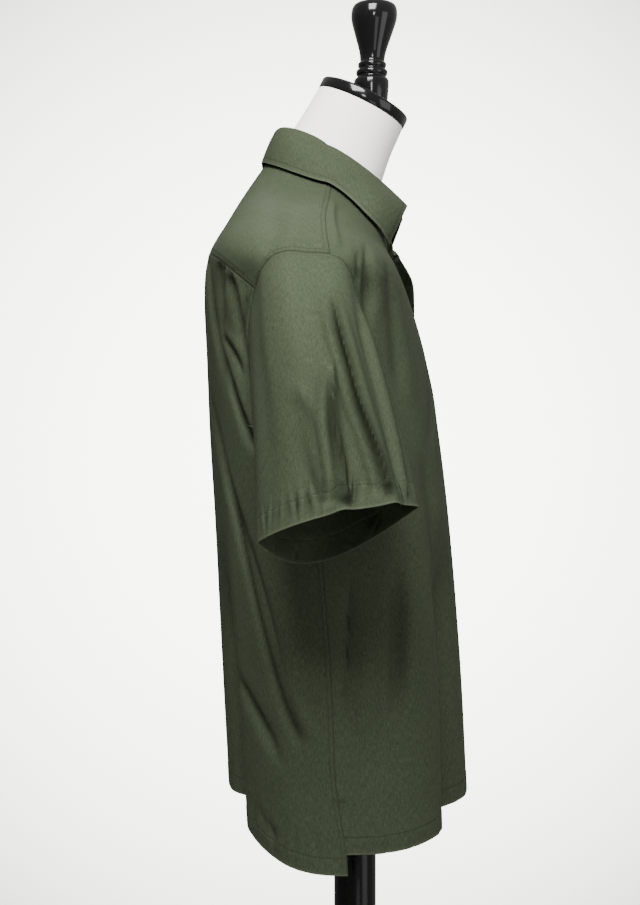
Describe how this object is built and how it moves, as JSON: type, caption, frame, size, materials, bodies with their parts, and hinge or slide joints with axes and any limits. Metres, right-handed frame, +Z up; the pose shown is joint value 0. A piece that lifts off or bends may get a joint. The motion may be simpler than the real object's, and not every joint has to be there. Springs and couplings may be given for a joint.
{
  "type": "oversized short-sleeved shirt on a limbless dress form",
  "caption": "Loose drop-shoulder shirt with collar, yoke, side vents and wide sleeves, hung open at the neck on a limbless dress form with a pole and round base.",
  "frame": {"origin": "centre of the base's underside, on the floor under the pole", "axes": "+Z up along the pole, -Y towards the wearer's front, -X towards the wearer's right"},
  "size_m": [0.7817, 0.3457, 1.715],
  "materials": {
    "front_right": "matte",
    "front_left": "matte",
    "back": "matte",
    "yoke": "matte",
    "sleeve_right": "matte",
    "sleeve_left": "matte",
    "collar_stand": "matte",
    "collar_fall": "matte",
    "button": "satin",
    "form_torso": "smooth cream cover",
    "form_neck_cap": "gloss black lacquer",
    "form_finial": "gloss black lacquer",
    "form_pole": "gloss black",
    "form_base": "gloss black"
  },
  "bodies": {
    "root": {"front_right": "front_right", "front_left": "front_left", "back": "back", "yoke": "yoke", "sleeve_right": "sleeve_right", "sleeve_left": "sleeve_left", "collar_stand": "collar_stand", "collar_fall": "collar_fall", "button": "button", "form_torso": "form_torso", "form_neck_cap": "form_neck_cap", "form_finial": "form_finial", "form_pole": "form_pole", "form_base": "form_base"}
  },
  "joints": []
}
